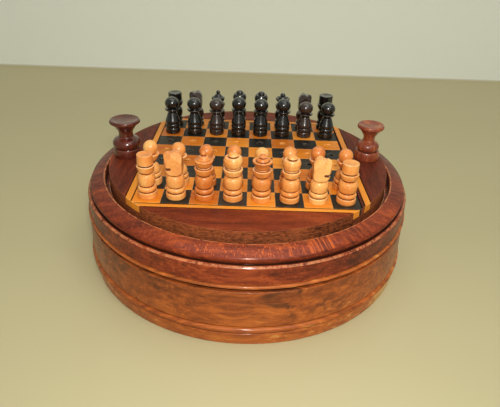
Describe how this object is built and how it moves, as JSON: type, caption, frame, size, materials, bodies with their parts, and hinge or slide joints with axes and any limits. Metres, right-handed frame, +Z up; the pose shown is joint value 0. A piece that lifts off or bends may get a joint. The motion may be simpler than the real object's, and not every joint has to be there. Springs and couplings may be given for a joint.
{
  "type": "chess set with board",
  "caption": "Round turned wooden box whose lift-off lid carries an inlaid chess board with pegged turned pieces and two lifting knobs.",
  "frame": {"origin": "centre of the foot on the table", "axes": "+Z up, -Y towards the light player's side, +X to that player's right"},
  "size_m": [0.1692, 0.1692, 0.0736],
  "materials": {
    "box_wood": "satin lacquered sheesham",
    "lid_wood": "satin lacquered rosewood, worn on the edges",
    "core_wood": "satin rosewood",
    "segment_wood": "satin rosewood",
    "light_inlay": "satin lacquered boxwood",
    "dark_inlay": "satin ebonised wood",
    "strip_wood": "satin lacquered boxwood",
    "light_piece_wood": "polished boxwood",
    "dark_piece_wood": "polished ebony",
    "left_knob_wood": "polished dark rosewood",
    "right_knob_wood": "polished rosewood"
  },
  "bodies": {
    "box": {"box_body": "box_wood"},
    "lid": {"lid": "lid_wood"},
    "board": {"board_core": "core_wood", "light_squares": "light_inlay", "dark_squares": "dark_inlay", "front_strip": "strip_wood", "back_strip": "strip_wood", "left_strip": "strip_wood", "right_strip": "strip_wood", "right_sliver": "segment_wood", "front_segment": "segment_wood", "back_segment": "segment_wood", "left_segment": "segment_wood", "right_segment": "segment_wood", "left_knob": "left_knob_wood", "right_knob": "right_knob_wood"},
    "light_rook_left": {"light_rook_left": "light_piece_wood"},
    "light_knight_left": {"light_knight_left": "light_piece_wood"},
    "light_king": {"light_king": "light_piece_wood"},
    "light_bishop_left": {"light_bishop_left": "light_piece_wood"},
    "light_queen": {"light_queen": "light_piece_wood"},
    "light_bishop_right": {"light_bishop_right": "light_piece_wood"},
    "light_knight_right": {"light_knight_right": "light_piece_wood"},
    "light_rook_right": {"light_rook_right": "light_piece_wood"},
    "light_pawn_1": {"light_pawn_1": "light_piece_wood"},
    "light_pawn_2": {"light_pawn_2": "light_piece_wood"},
    "light_pawn_3": {"light_pawn_3": "light_piece_wood"},
    "light_pawn_4": {"light_pawn_4": "light_piece_wood"},
    "light_pawn_5": {"light_pawn_5": "light_piece_wood"},
    "light_pawn_6": {"light_pawn_6": "light_piece_wood"},
    "light_pawn_7": {"light_pawn_7": "light_piece_wood"},
    "light_pawn_8": {"light_pawn_8": "light_piece_wood"},
    "dark_rook_left": {"dark_rook_left": "dark_piece_wood"},
    "dark_knight_left": {"dark_knight_left": "dark_piece_wood"},
    "dark_king": {"dark_king": "dark_piece_wood"},
    "dark_bishop_left": {"dark_bishop_left": "dark_piece_wood"},
    "dark_bishop_right": {"dark_bishop_right": "dark_piece_wood"},
    "dark_queen": {"dark_queen": "dark_piece_wood"},
    "dark_knight_right": {"dark_knight_right": "dark_piece_wood"},
    "dark_rook_right": {"dark_rook_right": "dark_piece_wood"},
    "dark_pawn_1": {"dark_pawn_1": "dark_piece_wood"},
    "dark_pawn_2": {"dark_pawn_2": "dark_piece_wood"},
    "dark_pawn_3": {"dark_pawn_3": "dark_piece_wood"},
    "dark_pawn_4": {"dark_pawn_4": "dark_piece_wood"},
    "dark_pawn_5": {"dark_pawn_5": "dark_piece_wood"},
    "dark_pawn_6": {"dark_pawn_6": "dark_piece_wood"},
    "dark_pawn_7": {"dark_pawn_7": "dark_piece_wood"},
    "dark_pawn_8": {"dark_pawn_8": "dark_piece_wood"}
  },
  "joints": [
    {"name": "lid_lift", "type": "slide", "parent": "box", "child": "lid", "axis": [0, 0, 1], "range_m": [0, 0.05]},
    {"name": "board_lift", "type": "slide", "parent": "lid", "child": "board", "axis": [0, 0, 1], "range_m": [0, 0.03]},
    {"name": "light_rook_left_pull", "type": "slide", "parent": "board", "child": "light_rook_left", "axis": [0, 0, 1], "range_m": [0, 0.012]},
    {"name": "light_knight_left_pull", "type": "slide", "parent": "board", "child": "light_knight_left", "axis": [0, 0, 1], "range_m": [0, 0.012]},
    {"name": "light_king_pull", "type": "slide", "parent": "board", "child": "light_king", "axis": [0, 0, 1], "range_m": [0, 0.012]},
    {"name": "light_bishop_left_pull", "type": "slide", "parent": "board", "child": "light_bishop_left", "axis": [0, 0, 1], "range_m": [0, 0.012]},
    {"name": "light_queen_pull", "type": "slide", "parent": "board", "child": "light_queen", "axis": [0, 0, 1], "range_m": [0, 0.012]},
    {"name": "light_bishop_right_pull", "type": "slide", "parent": "board", "child": "light_bishop_right", "axis": [0, 0, 1], "range_m": [0, 0.012]},
    {"name": "light_knight_right_pull", "type": "slide", "parent": "board", "child": "light_knight_right", "axis": [0, 0, 1], "range_m": [0, 0.012]},
    {"name": "light_rook_right_pull", "type": "slide", "parent": "board", "child": "light_rook_right", "axis": [0, 0, 1], "range_m": [0, 0.012]},
    {"name": "light_pawn_1_pull", "type": "slide", "parent": "board", "child": "light_pawn_1", "axis": [0, 0, 1], "range_m": [0, 0.012]},
    {"name": "light_pawn_2_pull", "type": "slide", "parent": "board", "child": "light_pawn_2", "axis": [0, 0, 1], "range_m": [0, 0.012]},
    {"name": "light_pawn_3_pull", "type": "slide", "parent": "board", "child": "light_pawn_3", "axis": [0, 0, 1], "range_m": [0, 0.012]},
    {"name": "light_pawn_4_pull", "type": "slide", "parent": "board", "child": "light_pawn_4", "axis": [0, 0, 1], "range_m": [0, 0.012]},
    {"name": "light_pawn_5_pull", "type": "slide", "parent": "board", "child": "light_pawn_5", "axis": [0, 0, 1], "range_m": [0, 0.012]},
    {"name": "light_pawn_6_pull", "type": "slide", "parent": "board", "child": "light_pawn_6", "axis": [0, 0, 1], "range_m": [0, 0.012]},
    {"name": "light_pawn_7_pull", "type": "slide", "parent": "board", "child": "light_pawn_7", "axis": [0, 0, 1], "range_m": [0, 0.012]},
    {"name": "light_pawn_8_pull", "type": "slide", "parent": "board", "child": "light_pawn_8", "axis": [0, 0, 1], "range_m": [0, 0.012]},
    {"name": "dark_rook_left_pull", "type": "slide", "parent": "board", "child": "dark_rook_left", "axis": [0, 0, 1], "range_m": [0, 0.012]},
    {"name": "dark_knight_left_pull", "type": "slide", "parent": "board", "child": "dark_knight_left", "axis": [0, 0, 1], "range_m": [0, 0.012]},
    {"name": "dark_king_pull", "type": "slide", "parent": "board", "child": "dark_king", "axis": [0, 0, 1], "range_m": [0, 0.012]},
    {"name": "dark_bishop_left_pull", "type": "slide", "parent": "board", "child": "dark_bishop_left", "axis": [0, 0, 1], "range_m": [0, 0.012]},
    {"name": "dark_bishop_right_pull", "type": "slide", "parent": "board", "child": "dark_bishop_right", "axis": [0, 0, 1], "range_m": [0, 0.012]},
    {"name": "dark_queen_pull", "type": "slide", "parent": "board", "child": "dark_queen", "axis": [0, 0, 1], "range_m": [0, 0.012]},
    {"name": "dark_knight_right_pull", "type": "slide", "parent": "board", "child": "dark_knight_right", "axis": [0, 0, 1], "range_m": [0, 0.012]},
    {"name": "dark_rook_right_pull", "type": "slide", "parent": "board", "child": "dark_rook_right", "axis": [0, 0, 1], "range_m": [0, 0.012]},
    {"name": "dark_pawn_1_pull", "type": "slide", "parent": "board", "child": "dark_pawn_1", "axis": [0, 0, 1], "range_m": [0, 0.012]},
    {"name": "dark_pawn_2_pull", "type": "slide", "parent": "board", "child": "dark_pawn_2", "axis": [0, 0, 1], "range_m": [0, 0.012]},
    {"name": "dark_pawn_3_pull", "type": "slide", "parent": "board", "child": "dark_pawn_3", "axis": [0, 0, 1], "range_m": [0, 0.012]},
    {"name": "dark_pawn_4_pull", "type": "slide", "parent": "board", "child": "dark_pawn_4", "axis": [0, 0, 1], "range_m": [0, 0.012]},
    {"name": "dark_pawn_5_pull", "type": "slide", "parent": "board", "child": "dark_pawn_5", "axis": [0, 0, 1], "range_m": [0, 0.012]},
    {"name": "dark_pawn_6_pull", "type": "slide", "parent": "board", "child": "dark_pawn_6", "axis": [0, 0, 1], "range_m": [0, 0.012]},
    {"name": "dark_pawn_7_pull", "type": "slide", "parent": "board", "child": "dark_pawn_7", "axis": [0, 0, 1], "range_m": [0, 0.012]},
    {"name": "dark_pawn_8_pull", "type": "slide", "parent": "board", "child": "dark_pawn_8", "axis": [0, 0, 1], "range_m": [0, 0.012]}
  ]
}
